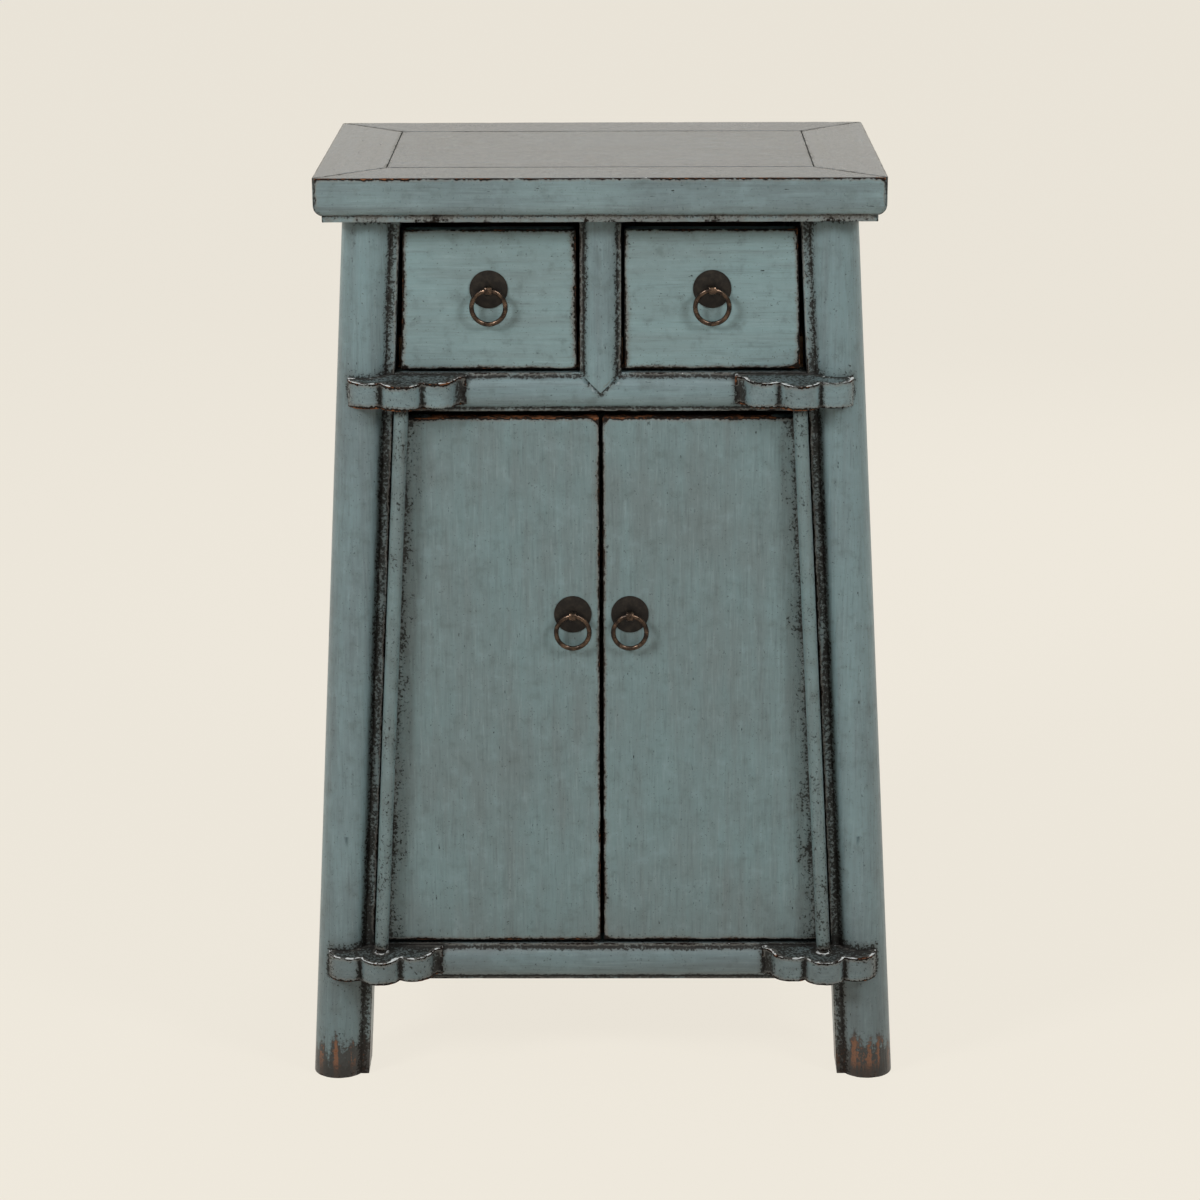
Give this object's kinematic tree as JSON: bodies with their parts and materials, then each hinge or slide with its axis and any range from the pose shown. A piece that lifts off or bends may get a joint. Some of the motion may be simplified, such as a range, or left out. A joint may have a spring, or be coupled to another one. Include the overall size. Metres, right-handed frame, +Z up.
{
  "type": "side table",
  "caption": "Tapered side table with splayed round posts, drawers over pole-hung doors in lobed brackets, ring pulls and an overhanging framed top.",
  "frame": {"origin": "centre of the bounding box on the floor, between the feet", "axes": "+Z up, -Y the front with the doors and drawers, +X to the right seen from the front"},
  "size_m": [0.542, 0.375, 0.844],
  "materials": {
    "lacquer": "worn grey-green lacquer",
    "top_lacquer": "worn grey lacquer, polished",
    "bare_wood": "bare aged softwood",
    "plate_bronze": "dark aged brass",
    "ring_brass": "aged brass"
  },
  "bodies": {
    "carcass": {"back_panel": "bare_wood", "center_stile": "lacquer", "floor_board": "bare_wood", "left_back_post": "lacquer", "left_drawer_runner": "bare_wood", "left_front_post": "lacquer", "left_lower_bracket": "lacquer", "left_lower_side_rail": "lacquer", "left_side_panel": "lacquer", "left_upper_bracket": "lacquer", "left_upper_side_rail": "lacquer", "lower_back_rail": "bare_wood", "lower_rail": "lacquer", "mid_rail": "lacquer", "middle_back_rail": "bare_wood", "middle_drawer_runner": "bare_wood", "right_back_post": "lacquer", "right_drawer_runner": "bare_wood", "right_front_post": "lacquer", "right_lower_bracket": "lacquer", "right_lower_side_rail": "lacquer", "right_side_panel": "lacquer", "right_upper_bracket": "lacquer", "right_upper_side_rail": "lacquer", "top_back_member": "top_lacquer", "top_batten": "bare_wood", "top_front_member": "top_lacquer", "top_left_member": "top_lacquer", "top_panel": "top_lacquer", "top_right_member": "top_lacquer", "upper_back_rail": "bare_wood"},
    "left_drawer": {"left_drawer_back": "bare_wood", "left_drawer_backplate": "plate_bronze", "left_drawer_floor": "bare_wood", "left_drawer_front": "lacquer", "left_drawer_inner_side": "bare_wood", "left_drawer_outer_side": "bare_wood", "left_drawer_staple": "ring_brass"},
    "left_drawer_ring": {"left_drawer_ring": "ring_brass"},
    "left_door": {"left_door_backplate": "plate_bronze", "left_door_battens": "bare_wood", "left_door_board": "lacquer", "left_door_pole_stile": "lacquer", "left_door_staple": "ring_brass"},
    "left_door_ring": {"left_door_ring": "ring_brass"},
    "right_drawer": {"right_drawer_back": "bare_wood", "right_drawer_backplate": "plate_bronze", "right_drawer_floor": "bare_wood", "right_drawer_front": "lacquer", "right_drawer_inner_side": "bare_wood", "right_drawer_outer_side": "bare_wood", "right_drawer_staple": "ring_brass"},
    "right_drawer_ring": {"right_drawer_ring": "ring_brass"},
    "right_door": {"right_door_backplate": "plate_bronze", "right_door_battens": "bare_wood", "right_door_board": "lacquer", "right_door_pole_stile": "lacquer", "right_door_staple": "ring_brass"},
    "right_door_ring": {"right_door_ring": "ring_brass"}
  },
  "joints": [
    {"name": "left_drawer_slide", "type": "slide", "parent": "carcass", "child": "left_drawer", "axis": [0, -1, 0], "range_m": [0, 0.18]},
    {"name": "left_door_hinge", "type": "hinge", "parent": "carcass", "child": "left_door", "pos_m": [-0.2041, -0.16302, 0.129], "axis": [-0.0534, -0.0348, -0.998], "range_deg": [0, 170]},
    {"name": "left_drawer_ring_swing", "type": "hinge", "parent": "left_drawer", "child": "left_drawer_ring", "pos_m": [-0.0988, -0.13673, 0.74031], "axis": [-1, 0, 0], "range_deg": [-10, 160]},
    {"name": "left_door_ring_swing", "type": "hinge", "parent": "left_door", "child": "left_door_ring", "pos_m": [-0.0258, -0.14903, 0.44461], "axis": [-1, 0, 0], "range_deg": [-10, 160]},
    {"name": "right_drawer_slide", "type": "slide", "parent": "carcass", "child": "right_drawer", "axis": [0, -1, 0], "range_m": [0, 0.18]},
    {"name": "right_door_hinge", "type": "hinge", "parent": "carcass", "child": "right_door", "pos_m": [0.2041, -0.16302, 0.129], "axis": [-0.0534, 0.0348, 0.998], "range_deg": [0, 170]},
    {"name": "right_drawer_ring_swing", "type": "hinge", "parent": "right_drawer", "child": "right_drawer_ring", "pos_m": [0.0988, -0.13673, 0.74031], "axis": [-1, 0, 0], "range_deg": [-10, 160]},
    {"name": "right_door_ring_swing", "type": "hinge", "parent": "right_door", "child": "right_door_ring", "pos_m": [0.0258, -0.14903, 0.44461], "axis": [-1, 0, 0], "range_deg": [-10, 160]}
  ]
}
